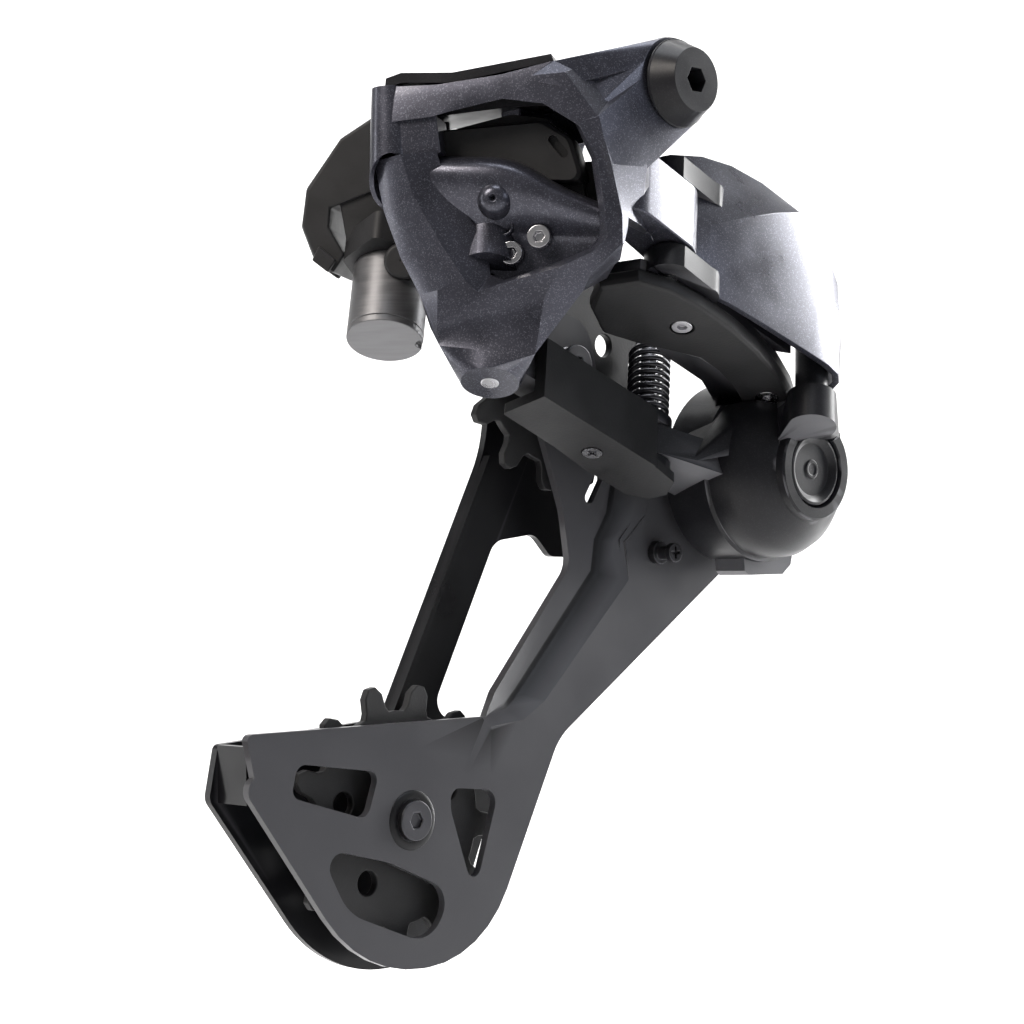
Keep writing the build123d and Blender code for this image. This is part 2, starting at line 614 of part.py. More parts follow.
for label, center, phase in (("guide", GUIDE, 40), ("tension", TENSION, 20)):
    node(f"{label}_pulley_bolt", pulley_bolt(center))
    node(f"{label}_pulley_sleeve", pulley_sleeve(center))
    node(f"{label}_pulley_wheel", toothed_wheel(center, phase))
    node(f"{label}_pulley_bearing", pulley_bearing(center))

os.makedirs("parts", exist_ok=True)
for name, shape in nodes.items():
    export_step(shape, f"parts/{name}.step")
    print(f"{name}: {len(shape.solids())} solids, {shape.volume:.0f} mm3")
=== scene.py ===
import json
import math

import bmesh
import bpy
from mathutils import Matrix, Vector


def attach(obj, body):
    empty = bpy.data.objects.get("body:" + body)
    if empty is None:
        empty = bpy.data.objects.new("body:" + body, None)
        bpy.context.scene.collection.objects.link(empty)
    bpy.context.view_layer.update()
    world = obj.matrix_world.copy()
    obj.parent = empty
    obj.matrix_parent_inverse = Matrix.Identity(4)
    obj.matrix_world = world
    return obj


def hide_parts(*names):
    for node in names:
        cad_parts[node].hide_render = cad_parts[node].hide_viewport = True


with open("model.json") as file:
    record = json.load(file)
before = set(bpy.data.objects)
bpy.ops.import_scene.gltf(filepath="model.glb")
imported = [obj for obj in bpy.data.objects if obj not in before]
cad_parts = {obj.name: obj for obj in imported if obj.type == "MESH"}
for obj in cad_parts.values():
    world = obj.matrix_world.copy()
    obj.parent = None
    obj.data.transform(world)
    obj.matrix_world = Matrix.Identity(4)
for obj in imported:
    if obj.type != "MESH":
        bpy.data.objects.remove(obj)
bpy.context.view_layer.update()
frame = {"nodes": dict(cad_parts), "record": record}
MM = 0.001

# ---------------------------------------------------------------- materials
FLAKE_SCALE = 5200.0
COAT_ROUGH = 0.12
BUMP_HEIGHT = 0.00006
EDGE_HIGHLIGHT_FROM, EDGE_HIGHLIGHT_TO = 0.62, 0.80     # pointiness at which the painted edge highlight starts and ends


def new_material(name):
    mat = bpy.data.materials.new(name)
    mat.use_nodes = True
    tree = mat.node_tree
    return mat, tree, tree.nodes["Principled BSDF"]


def add(tree, kind, **settings):
    item = tree.nodes.new(kind)
    for key, value in settings.items():
        setattr(item, key, value)
    return item


def ramp(tree, source, stops):
    """Colour ramp on a value; stops are (position, grey or colour)."""
    item = add(tree, "ShaderNodeValToRGB")
    elements = item.color_ramp.elements
    while len(elements) < len(stops):
        elements.new(0.5)
    for element, (position, value) in zip(elements, stops):
        element.position = position
        element.color = (*value, 1) if isinstance(value, tuple) else (value, value, value, 1)
    tree.links.new(source, item.inputs["Fac"])
    return item.outputs["Color"]


def surface(name, color, metallic=0.0, rough=0.4, grain=0.15, grain_scale=2500.0, edge_highlight=0.0,
            edge_highlight_color=(0.25, 0.25, 0.27), flakes=0.0, coat=0.0, patches=0.12, patch_scale=120.0, streak=None,
            specular=0.5):
    """One procedural finish: colour patches, fine bump, sparkle flakes and a painted highlight on sharp
    edges.
    """
    mat, tree, shader = new_material(name)
    place = add(tree, "ShaderNodeTexCoord").outputs["Object"]
    if streak:
        mapping = add(tree, "ShaderNodeMapping")
        mapping.inputs["Scale"].default_value = streak
        tree.links.new(place, mapping.inputs["Vector"])
        place = mapping.outputs["Vector"]
    patch = add(tree, "ShaderNodeTexNoise")
    patch.inputs["Scale"].default_value = patch_scale
    patch.inputs["Detail"].default_value = 6
    fine = add(tree, "ShaderNodeTexNoise")
    fine.inputs["Scale"].default_value = grain_scale
    fine.inputs["Detail"].default_value = 3
    for noise in (patch, fine):
        tree.links.new(place, noise.inputs["Vector"])
    low = tuple(c * (1 - patches) for c in color)
    high = tuple(min(1, c * (1 + patches)) for c in color)
    tint = ramp(tree, patch.outputs["Fac"], [(0.35, low), (0.65, high)])
    smoother, rougher = max(0.02, rough * 0.85), min(1, rough * 1.18)
    rough_out = ramp(tree, patch.outputs["Fac"], [(0.3, smoother), (0.7, rougher)])
    if flakes:
        cells = add(tree, "ShaderNodeTexVoronoi")
        cells.inputs["Scale"].default_value = FLAKE_SCALE
        tree.links.new(place, cells.inputs["Vector"])
        split = add(tree, "ShaderNodeSeparateColor")
        tree.links.new(cells.outputs["Color"], split.inputs["Color"])
        bright = tuple(min(1, c * 2.6 + 0.05) for c in color)
        spark = add(tree, "ShaderNodeMix", data_type="RGBA")
        chosen = ramp(tree, split.outputs["Red"], [(0.80, 0.0), (0.95, flakes)])
        tree.links.new(chosen, spark.inputs["Factor"])
        tree.links.new(tint, spark.inputs["A"])
        spark.inputs["B"].default_value = (*bright, 1)
        tint = spark.outputs["Result"]
    if edge_highlight:
        # painted highlight: sharp convex edges (high pointiness) are lightened towards the highlight colour
        pointed = add(tree, "ShaderNodeNewGeometry").outputs["Pointiness"]
        edge = ramp(tree, pointed, [(EDGE_HIGHLIGHT_FROM, 0.0), (EDGE_HIGHLIGHT_TO, edge_highlight)])
        highlighted = add(tree, "ShaderNodeMix", data_type="RGBA")
        tree.links.new(edge, highlighted.inputs["Factor"])
        tree.links.new(tint, highlighted.inputs["A"])
        highlighted.inputs["B"].default_value = (*edge_highlight_color, 1)
        tint = highlighted.outputs["Result"]
    tree.links.new(tint, shader.inputs["Base Color"])
    tree.links.new(rough_out, shader.inputs["Roughness"])
    bump = add(tree, "ShaderNodeBump")
    bump.inputs["Strength"].default_value = grain
    bump.inputs["Distance"].default_value = BUMP_HEIGHT
    tree.links.new(fine.outputs["Fac"], bump.inputs["Height"])
    tree.links.new(bump.outputs["Normal"], shader.inputs["Normal"])
    shader.inputs["Metallic"].default_value = metallic
    shader.inputs["Specular IOR Level"].default_value = specular
    shader.inputs["Coat Weight"].default_value = coat
    shader.inputs["Coat Roughness"].default_value = COAT_ROUGH
    return mat


# the edge settings in these finishes paint a lighter highlight along sharp edges
FINISH = {
    "anthracite_paint": surface("anthracite_paint", (0.040, 0.041, 0.054), metallic=0.65, rough=0.31,
                                flakes=0.5, edge_highlight=0.35, coat=0.12, grain=0.10, specular=0.4),
    "cage_black": surface("cage_black", (0.004, 0.004, 0.005), rough=0.32, edge_highlight=0.4, grain=0.15,
                          edge_highlight_color=(0.10, 0.10, 0.11), patch_scale=60, specular=0.2),
    "black_alloy": surface("black_alloy", (0.008, 0.008, 0.010), rough=0.36, edge_highlight=0.3, grain=0.12, flakes=0.1,
                           specular=0.22),
    "dark_plastic": surface("dark_plastic", (0.010, 0.010, 0.011), rough=0.5, grain=0.5, grain_scale=1800,
                            patches=0.18, specular=0.25),
    "motor_metal": surface("motor_metal", (0.12, 0.12, 0.125), metallic=0.8, rough=0.42, grain=0.2,
                           streak=(1, 1, 14)),
    "bright_steel": surface("bright_steel", (0.42, 0.42, 0.44), metallic=1.0, rough=0.28, grain=0.2, edge_highlight=0.3,
                            edge_highlight_color=(0.7, 0.7, 0.7)),
    "dark_steel": surface("dark_steel", (0.05, 0.05, 0.055), metallic=0.9, rough=0.32, grain=0.15, edge_highlight=0.4,
                          edge_highlight_color=(0.3, 0.3, 0.3)),
    "bushing": surface("bushing", (0.35, 0.25, 0.12), metallic=0.9, rough=0.45, grain=0.4),
    "battery_case": surface("battery_case", (0.014, 0.014, 0.016), rough=0.22, grain=0.08, coat=0.3),
    "board": surface("board", (0.02, 0.09, 0.04), rough=0.35, grain=0.3, patches=0.3, patch_scale=900),
}

# ---------------------------------------------------------------- places, worked out from the frame
joints = {item["name"]: item for item in frame["record"]["behaviour"]["joints"]}
slot_of = {item["node"]: item["material_slot"] for item in frame["record"]["subparts"]}
PIN = Vector(joints["outer_link_swing"]["axis"]).normalized()
ALONG = Vector((PIN.z, 0, -PIN.x)).normalized()
CROSS = PIN.cross(ALONG)
FOOT = Vector(joints["inner_link_swing"]["pos_m"])
CAGE_PIVOT = Vector(joints["cage_pivot"]["pos_m"])
FACE_TURN = math.radians(54.07)
FACE_S = Vector((math.cos(FACE_TURN), -math.sin(FACE_TURN), 0))
FACE_T = Vector((-math.sin(FACE_TURN), -math.cos(FACE_TURN), 0))
INNER_P = (51.0, 0.0)
OUTER_B = (21.5, -30.0)
OUTER_P = (72.5, -30.0)
LUG_R = 5.6
POST_R = 3.7


def link_at(a, b, h):
    """Spot in the links' frame: along, across and up the pins, in mm."""
    return FOOT + (ALONG * a + CROSS * b + PIN * h) * MM


def face_at(s, z, t):
    """Spot in the rear face's frame: across, up and out of it, in mm."""
    return Vector((FOOT.x, FOOT.y, 0)) + (FACE_S * s + FACE_T * t) * MM + Vector((0, 0, z * MM))


def side_at(x, z, y):
    return Vector((x, y, z)) * MM


# ---------------------------------------------------------------- mesh helpers
def circle(place, center, radius, level, steps=32, start=0.0, end=360.0):
    """Points of an arc in the plane of `place`, whose third number is the level."""
    points = []
    count = steps if end - start >= 360 else steps + 1
    for i in range(count):
        angle = math.radians(start + (end - start) * i / steps)
        x = center[0] + radius * math.cos(angle)
        y = center[1] + radius * math.sin(angle)
        points.append(place(x, y, level))
    return points


def loft(mesh, rows, caps=True):
    """Skins closed sections, each a list of the same number of points."""
    rings = [[mesh.verts.new(p) for p in row] for row in rows]
    count = len(rings[0])
    for low, high in zip(rings, rings[1:]):
        for i in range(count):
            j = (i + 1) % count
            mesh.faces.new((low[i], low[j], high[j], high[i]))
    if caps:
        mesh.faces.new(rings[0][::-1])
        mesh.faces.new(rings[-1])
    return rings


def hull(mesh, points):
    """Convex solid round the points."""
    verts = [mesh.verts.new(p) for p in points]
    result = bmesh.ops.convex_hull(mesh, input=verts)
    spare = [v for v in result["geom_interior"] if isinstance(v, bmesh.types.BMVert)]
    bmesh.ops.delete(mesh, geom=spare, context="VERTS")


def sheet(mesh, rows):
    """Open grid through rows of points."""
    grid = [[mesh.verts.new(p) for p in row] for row in rows]
    for low, high in zip(grid, grid[1:]):
        for i in range(len(low) - 1):
            mesh.faces.new((low[i], low[i + 1], high[i + 1], high[i]))
    return grid


def lathe(mesh, place, center, profile, steps=64):
    """Solid of revolution; the profile is (radius, level) pairs, closed."""
    rows = [circle(place, center, radius, level, steps) for radius, level in profile]
    rings = [[mesh.verts.new(p) for p in row] for row in rows]
    for k in range(len(rings)):
        low, high = rings[k], rings[(k + 1) % len(rings)]
        for i in range(steps):
            j = (i + 1) % steps
            mesh.faces.new((low[i], low[j], high[j], high[i]))


def stadium(place, first, second, level, steps=12):
    """Hull outline of two circles (x, y, radius) at a level."""
    (x0, y0, r0), (x1, y1, r1) = first, second
    heading = math.atan2(y1 - y0, x1 - x0)
    lean = math.asin((r0 - r1) / math.hypot(x1 - x0, y1 - y0))
    points = []
    for x, y, r, start, end in ((x1, y1, r1, -90, 90), (x0, y0, r0, 90, 270)):
        for i in range(steps + 1):
            angle = heading + math.radians(start + (end - start) * i / steps)
            angle += lean if (i > steps / 2) == (start < 0) else -lean
            points.append(place(x + r * math.cos(angle), y + r * math.sin(angle), level))
    return points


def fill(mesh, loops):
    """Flat face inside the first loop of vertices, with the other loops as holes."""
    edges = []
    for loop in loops:
        for i, vert in enumerate(loop):
            pair = (vert, loop[(i + 1) % len(loop)])
            edge = mesh.edges.get(pair) or mesh.edges.new(pair)
            edges.append(edge)
    made = bmesh.ops.triangle_fill(mesh, use_beauty=True, use_dissolve=False, edges=edges)
    return [item for item in made["geom"] if isinstance(item, bmesh.types.BMFace)]


def rounded(corners, steps=6):
    """Outline through corners (x, y, radius), with each corner turned into an arc."""
    points = []
    count = len(corners)
    for i, (x, y, radius) in enumerate(corners):
        here = Vector((x, y))
        back = (Vector(corners[i - 1][:2]) - here).normalized()
        ahead = (Vector(corners[(i + 1) % count][:2]) - here).normalized()
        half = back.angle(ahead) / 2
        if radius <= 0 or half > math.radians(89):
            points.append((x, y))
            continue
        middle = here + (back + ahead).normalized() * (radius / math.sin(half))
        first = here + back * (radius / math.tan(half)) - middle
        last = here + ahead * (radius / math.tan(half)) - middle
        sweep = first.angle_signed(last)
        start = math.atan2(first.y, first.x)
        for k in range(steps + 1):
            angle = start - sweep * k / steps
            points.append((middle.x + radius * math.cos(angle), middle.y + radius * math.sin(angle)))
    return points


def make_smooth_group():
    """Geometry nodes that smooth every edge flatter than the given angle."""
    tree = bpy.data.node_groups.new("smooth_by_angle", "GeometryNodeTree")
    tree.interface.new_socket("Geometry", in_out="INPUT", socket_type="NodeSocketGeometry")
    tree.interface.new_socket("Geometry", in_out="OUTPUT", socket_type="NodeSocketGeometry")
    start = tree.nodes.new("NodeGroupInput")
    end = tree.nodes.new("NodeGroupOutput")
    angle = tree.nodes.new("GeometryNodeInputMeshEdgeAngle")
    small = tree.nodes.new("FunctionNodeCompare")
    small.data_type = "FLOAT"
    small.operation = "LESS_EQUAL"
    small.inputs[1].default_value = math.radians(SMOOTH_ANGLE)
    faces = tree.nodes.new("GeometryNodeSetShadeSmooth")
    faces.domain = "FACE"
    edges = tree.nodes.new("GeometryNodeSetShadeSmooth")
    edges.domain = "EDGE"
    tree.links.new(angle.outputs["Unsigned Angle"], small.inputs[0])
    tree.links.new(start.outputs[0], faces.inputs["Geometry"])
    tree.links.new(faces.outputs["Geometry"], edges.inputs["Geometry"])
    tree.links.new(small.outputs["Result"], edges.inputs["Shade Smooth"])
    tree.links.new(edges.outputs["Geometry"], end.inputs[0])
    return tree


SMOOTH_ANGLE = 33.0
smooth_group = make_smooth_group()


def finish_edges(obj, width, segments=2, angle=24.0):
    """Rounded edges and even shading, without touching the mesh itself."""
    smooth = obj.modifiers.new("smooth", "NODES")
    smooth.node_group = smooth_group
    bevel = obj.modifiers.new("edge", "BEVEL")
    bevel.width = width * MM
    bevel.segments = segments
    bevel.limit_method = "ANGLE"
    bevel.angle_limit = math.radians(angle)
    bevel.use_clamp_overlap = True
    bevel.harden_normals = True


def to_object(name, mesh):
    data = bpy.data.meshes.new(name)
    mesh.to_mesh(data)
    mesh.free()
    obj = bpy.data.objects.new(name, data)
    bpy.context.collection.objects.link(obj)
    return obj


def carve(obj, room):
    """Cuts a moving neighbour's room, a (place, centre, radius, low, high) bar, out of a closed mesh."""
    place, center, radius, low, high = room
    mesh = bmesh.new()
    loft(mesh, [circle(place, center, radius, low, 96), circle(place, center, radius, high, 96)])
    bmesh.ops.recalc_face_normals(mesh, faces=mesh.faces)
    tool = to_object("room", mesh)
    cut = obj.modifiers.new("cut", "BOOLEAN")
    cut.operation = "DIFFERENCE"
    cut.solver = "EXACT"
    cut.use_self = True
    cut.object = tool
    done = bpy.data.meshes.new_from_object(obj.evaluated_get(bpy.context.evaluated_depsgraph_get()))
    obj.modifiers.clear()
    obj.data = done
    bpy.data.objects.remove(tool)


def piece(name, mesh, body, slot, stands_for=(), bevel=0.35, segments=2, angle=24.0, subdivide=0, thick=0.0,
          rooms=(), outward=None):
    """Turns a bmesh into a finished piece on its body."""
    if outward:
        mesh.normal_update()
        for face in mesh.faces:
            if face.normal.dot(outward) < 0:
                face.normal_flip()
    else:
        bmesh.ops.recalc_face_normals(mesh, faces=mesh.faces)
    obj = to_object(name, mesh)
    for room in rooms:
        carve(obj, room)
    obj.data.materials.clear()
    obj.data.materials.append(FINISH[slot])
    if subdivide:
        smoother = obj.modifiers.new("round", "SUBSURF")
        smoother.levels = subdivide
        smoother.render_levels = subdivide
    if thick:
        solid = obj.modifiers.new("thick", "SOLIDIFY")
        solid.thickness = thick * MM
        solid.offset = -1
    finish_edges(obj, bevel, segments, angle)
    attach(obj, body)
    if stands_for:
        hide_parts(*stands_for)
    return obj


# ---------------------------------------------------------------- CAD nodes that stay as they are
SOFT_EDGES = {"inner_link_guard": 1.6, "gearbox_case": 0.8, "inner_link_arm": 0.8, "battery_housing": 0.8}


def dress(name):
    """Gives a CAD node its finish and soft edges."""
    obj = frame["nodes"][name]
    obj.data.materials.clear()
    obj.data.materials.append(FINISH[slot_of[name]])
    weld = obj.modifiers.new("weld", "WELD")
    weld.merge_threshold = 0.000002
    flat = obj.modifiers.new("flat", "DECIMATE")
    flat.decimate_type = "DISSOLVE"
    flat.angle_limit = math.radians(0.6)
    width = SOFT_EDGES.get(name, 0.3)
    finish_edges(obj, width, segments=3 if width > 0.3 else 2, angle=32)


for node_name in frame["nodes"]:
    dress(node_name)


# room that neighbours need while they move
OUTER_LINK_ROOM = (link_at, OUTER_B, 20.6, 17.3, 27.4)
BUMPER_ROOM = (link_at, OUTER_P, 22.4, 17.6, 60.0)
CAP_ROOM = (side_at, (CAGE_PIVOT.x / MM, CAGE_PIVOT.z / MM), 8.7, -14.0, 20.0)
GUIDE_PULLEY_ROOM = (side_at, (2.7, -56.7), 29.2, 20.2, 30.0)


# ---------------------------------------------------------------- body knuckle, lower half
def faces_of(rows):
    return [[face_at(*p) for p in row] for row in rows]


LOWER_RING = [
    [(-25, -12, -4), (-24, -15.5, 3), (-21, -16, 6), (-17, -15.5, 8), (-9.5, -15, 7), (-11.5, -13, -4)],
    [(-23.5, -24, -4), (-22, -26.5, 3), (-18.5, -26, 6), (-14.5, -24, 8), (-8, -22, 5), (-9.5, -20.5, -4)],
    [(-20, -35, -4), (-18.5, -36.5, 3), (-14, -36, 6), (-9, -34, 8), (-3.5, -28.5, 4), (-5, -27.5, -4)],
    [(-16, -43.5, -3), (-14.5, -44.5, 3), (-10, -44, 6), (-4, -42, 8), (0, -34.5, 3.5), (-1, -33.5, -4)],
    [(-12.5, -51.5, 2), (-10, -55.5, 5), (-10, -52, 7), (-1, -45, 8.5), (1, -41, 4), (0, -40, -3)],
    [(-0.5, -54, 5.2), (0, -57, 6.5), (-0.5, -49.5, 8), (4, -43.5, 9), (4.5, -42.5, 6), (3, -41, -2)],
    [(11.5, -53.5, 4.8), (10.5, -58, 6), (13, -46.5, 8), (16.5, -40.5, 9), (16, -39, 6.5), (14.5, -38, -2)],
    [(20, -44.5, 0), (20.5, -45, 4), (22.5, -42, 7),
     (23.5, -37.5, 8.5), (22.5, -36.5, 6.5), (20.5, -35.5, -3)],
    [(31.5, -37.5, -8), (31.5, -36, 2), (29.5, -36, 8),
     (26.5, -34.5, 8.5), (24.5, -34, 6.5), (23, -32.5, -4)],
    [(34, -33, -10), (32, -31, -2), (29.5, -30, 8), (26, -29.5, 8.5), (24.5, -29, 6.5), (23, -27.5, -4)],
]


def knuckle_lower():
    mesh = bmesh.new()
    loft(mesh, faces_of(LOWER_RING))
    foot = circle(link_at, (0, 0), 6.2, -4.0) + circle(link_at, (0, 0), 6.2, -0.4)
    skirt = [(-10, -55.5, 5), (0, -57, 6.5), (10.5, -58, 6), (-9, -57.5, 3), (9, -59.5, 3)]
    hull(mesh, foot + [face_at(*p) for p in skirt])
    post = stadium(link_at, (0, 0, 6.0), (-9, -6, 6.0), 17.6)
    loft(mesh, [post, stadium(link_at, (0, 0, 6.0), (-9, -6, 6.0), 25.5)])
    return piece("knuckle_lower_shell", mesh, "body_knuckle", "anthracite_paint", ["knuckle_lower_housing"],
                 rooms=[OUTER_LINK_ROOM, GUIDE_PULLEY_ROOM])


FLOOR = [
    [(-13, -15.8, -3), (-5, -16, -3), (6.5, -16.4, -3), (13.5, -22.5, -3), (25, -27.5, -3)],
    [(-13, -16.2, 4.6), (-5, -16.8, 5.2), (6.8, -17.2, 5.6), (14.0, -23.5, 5), (25, -28.3, 3.4)],
    [(-12, -20, 5.4), (-4, -20.5, 6.6), (4.5, -20.5, 7), (11.5, -25.6, 6), (25, -30, 3.6)],
    [(-9, -26, 4), (-2.5, -26, 4.6), (3.5, -26, 6), (11, -28.4, 3.6), (24.6, -31.5, 2.8)],
    [(-5, -32, 1), (-0.5, -31, 1), (3.6, -30.6, 1.2), (10.5, -30.6, 1), (24.4, -33, 1.8)],
    [(-3, -37, 0.4), (0.6, -34.5, -0.6), (4.5, -33, -0.8), (12, -32, -0.8), (23.8, -34.6, 1.2)],
    [(1.0, -41.5, 0.4), (3.2, -42.5, -0.8), (7.5, -42.5, -0.8), (15, -39.5, -0.8), (22.6, -37, 0.6)],
]


def knuckle_floor():
    mesh = bmesh.new()
    sheet(mesh, faces_of(FLOOR))
    return piece("knuckle_floor", mesh, "body_knuckle", "anthracite_paint", (), bevel=0.2, subdivide=3,
                 thick=1.0)


def floor_dome():
    """Rounded boss on the floor with a small bore under it."""
    mesh = bmesh.new()
    profile = [(0.01, 8.6), (1.6, 8.3), (2.9, 7.4), (3.8, 5.8), (4.2, 3.6), (4.4, 1.0), (0.01, 1.0)]
    lathe(mesh, face_at, (2.4, -25.4), profile, 40)
    lathe(mesh, face_at, (3.6, -30.6), [(2.4, 3.2), (1.5, 3.4), (1.5, 0.5), (2.4, 0.5)], 28)
    return piece("floor_boss", mesh, "body_knuckle", "anthracite_paint", (), bevel=0.25, subdivide=1)


def window_box():
    """Front of the battery box behind the window, with a slanted pill-shaped slot."""
    mesh = bmesh.new()
    outline = rounded([(-13.5, -19.8, 1), (-13.0, -9.4, 3), (12.5, -8.2, 4), (18.5, -12.5, 4),
                       (21.0, -22.0, 2)])
    center = Vector((2.0, -14.5))

    def level(shrink, t):
        points = []
        for x, y in outline:
            away = Vector((x, y)) - center
            points.append(face_at(*(center + away * (1 - shrink / away.length)), t))
        return points

    rings = loft(mesh, [level(0.0, -9.0), level(0.0, -1.2), level(0.5, 0.0), level(1.4, 0.6)], caps=False)
    slots = [stadium(face_at, (14.0, -12.6, 0.9), (16.4, -15.6, 0.9), t) for t in (0.6, -1.0)]
    slot = loft(mesh, slots, caps=False)
    mesh.faces.new(slot[-1])
    fill(mesh, [rings[-1], slot[0]])
    return piece("window_box", mesh, "body_knuckle", "dark_plastic", (), bevel=0.15, angle=25)


def window_walls():
    """Dark walls behind the window and beside the gearbox."""
    mesh = bmesh.new()
    back = [(-22, -6), (-10, -6), (-10, -16), (24.5, -16), (26.5, -28), (-18, -28)]
    loft(mesh, [[face_at(s, z, t) for s, z in back] for t in (-10.0, -8.5)])
    side = [(-36, -15), (-19, -15), (-17.5, -33), (-33, -33)]
    loft(mesh, [[face_at(s, z, t) for s, z in side] for t in (-13.0, -9.0)])
    gear_boss = [(0.01, -1.5), (3.4, -1.5), (4.0, -2.2), (4.0, -10), (0.01, -10)]
    lathe(mesh, face_at, (-19.5, -36.5), gear_boss, 36)
    return piece("inner_walls", mesh, "body_knuckle", "dark_plastic", (), bevel=0.4)


# ---------------------------------------------------------------- body knuckle, upper half
UPPER_RING = [
    [(34, -33, -10), (32, -31, -2), (29.5, -30, 8), (26, -29.5, 8.5), (24.5, -29, 6.5), (23, -27.5, -4)],
    [(33.5, -16, -12), (33.5, -19.5, -2), (27.5, -20, 8),
     (24.5, -18.5, 8.5), (23, -18, 6.5), (21.5, -16, -4)],
    [(34, -9.5, -12), (32.5, -8, -2), (25, -10, 8), (21, -11.5, 8.5), (20, -10.5, 6.5), (18, -8.5, -4)],
    [(23, 4, -10), (22, 3.5, 0), (18, 0, 7.5), (13.5, -6.5, 8.5), (12.5, -5.5, 6.5), (10.5, -3.5, -4)],
    [(15, 3, -6), (15.5, 2.6, 7), (11, -0.5, 8), (5, -5, 8.2), (4, -4.5, 6.5), (2, -2.5, -4)],
    [(2, 0.5, -6), (4.5, 0.2, 7.6), (0, -2.5, 8), (-6, -7, 8), (-6.5, -6, 6.5), (-9, -4, -4)],
    [(-12, -1, -6), (-9, -1.2, 7.6), (-9.5, -3.5, 8), (-10.5, -8, 8), (-11, -7, 6), (-13, -5.5, -4)],
    [(-23, -1, -6), (-20.5, -0.8, 6), (-20.5, -3.5, 6.4), (-19.5, -8.5, 7), (-18.5, -8, 5), (-20.5, -6, -4)],
]
COLUMN = (-20.0, 2.6)


def column_point(z, radius, angle):
    s = COLUMN[0] + radius * math.cos(angle)
    t = COLUMN[1] + radius * math.sin(angle)
    return face_at(s, z, t)


def bored_column(mesh, steps=40):
    """Upright round boss whose lower end is cut on a slant, with a bore in it."""
    angles = [2 * math.pi * i / steps for i in range(steps)]
    rows = [[column_point(z, r, a) for a in angles] for z, r in ((-0.6, 4.2), (-9, 4.6))]
    rim = [(-20.5 + 5.4 * math.sin(a) + 1.2 * math.cos(a), a) for a in angles]
    for radius, lift in ((5.0, 0.0), (4.0, 0.3), (3.9, 6.0)):
        rows.append([column_point(z + lift, radius, a) for z, a in rim])
    rows.append([column_point(-4, 3.4, a) for a in angles])
    loft(mesh, rows)


def knuckle_upper():
    mesh = bmesh.new()
    loft(mesh, faces_of(UPPER_RING))
    bored_column(mesh)
    facet = [(-20, -5, 6), (-9.5, -7.5, 7), (-8.8, -15, 6.4), (-11.5, -17, 6.4), (-19, -15, 6.4)]
    hull(mesh, [face_at(*p) for p in facet] + [face_at(*p[:2], -3) for p in facet])
    barrel = circle(side_at, (0, 0), 10, -14.7, 48) + circle(side_at, (0, 0), 10, -1.6, 48)
    upper = [p for p in barrel if p.z > 0.0015]
    lower = [p for p in barrel if p.z < 0.0005]
    top_end = [(15.5, 2.6, 6.8), (12.5, -2, 8), (17, -3, 8), (15, 3, -6), (23, 3, -8)]
    hull(mesh, upper + [face_at(*p) for p in top_end])
    side_end = [(25, -9.5, 8), (21.5, -10.5, 8.4), (27.5, -20, 7.8), (33.3, -19.5, -2), (33.3, -16, -10)]
    hull(mesh, lower + [face_at(*p) for p in side_end])
    middle = [p for p in barrel if abs(p.z) < 0.005 and p.x < 0]
    hull(mesh, middle + [face_at(*p) for p in ((14, -3, 7), (22, -9.5, 7), (20, -10, 6.5), (20, -8, -6))])
    return piece("knuckle_upper_shell", mesh, "body_knuckle", "anthracite_paint", ["knuckle_frame"],
                 bevel=0.5, segments=3, angle=16)


def knuckle_barrel():
    mesh = bmesh.new()
    profile = [(10.2, -13.9), (9.4, -14.7), (6.6, -14.7), (6.6, -1.5), (9.4, -1.5), (10.2, -2.3)]
    lathe(mesh, side_at, (0, 0), profile, 72)
    wall = [(-23.4, 4.0), (-6.7, 7.4), (-1, 9.4), (4, 4), (-3.6, -11), (-5.7, -17), (-7.6, -28), (-14, -33.4),
            (-22, -28)]
    loft(mesh, [[side_at(x, z, y) for x, z in wall] for y in (9.0, 15.0)])
    neck = [(-15, 5), (-4, 8.6), (-4, -8.6), (-13, -12)]
    loft(mesh, [[side_at(x, z, y) for x, z in neck] for y in (-2.0, 12.0)])
    lug = stadium(link_at, (*OUTER_B, 5.6), (7, -31, 5.0), 27.7)
    loft(mesh, [lug, stadium(link_at, (*OUTER_B, 5.6), (7, -31, 5.0), 43.9)])
    return piece("knuckle_barrel", mesh, "body_knuckle", "anthracite_paint", (), bevel=0.4)


# ---------------------------------------------------------------- outer link
PANEL_FOOT = 21.6
SLOT_TOP = 42.3


def panel_section(along, foot, middle, top, crease, peak):
    """One upright line of the outer skin: flat face, diagonal crease, then the slope to the top edge."""
    shoulder = crease + 0.507 * (peak - crease)
    line = [(foot, PANEL_FOOT), ((foot + middle) / 2 - 0.6, (PANEL_FOOT + crease) / 2), (middle, crease),
            ((middle + top) / 2, shoulder), (top, peak), (top + 1.6, peak - 0.5)]
    return [link_at(along, across, height) for across, height in line]


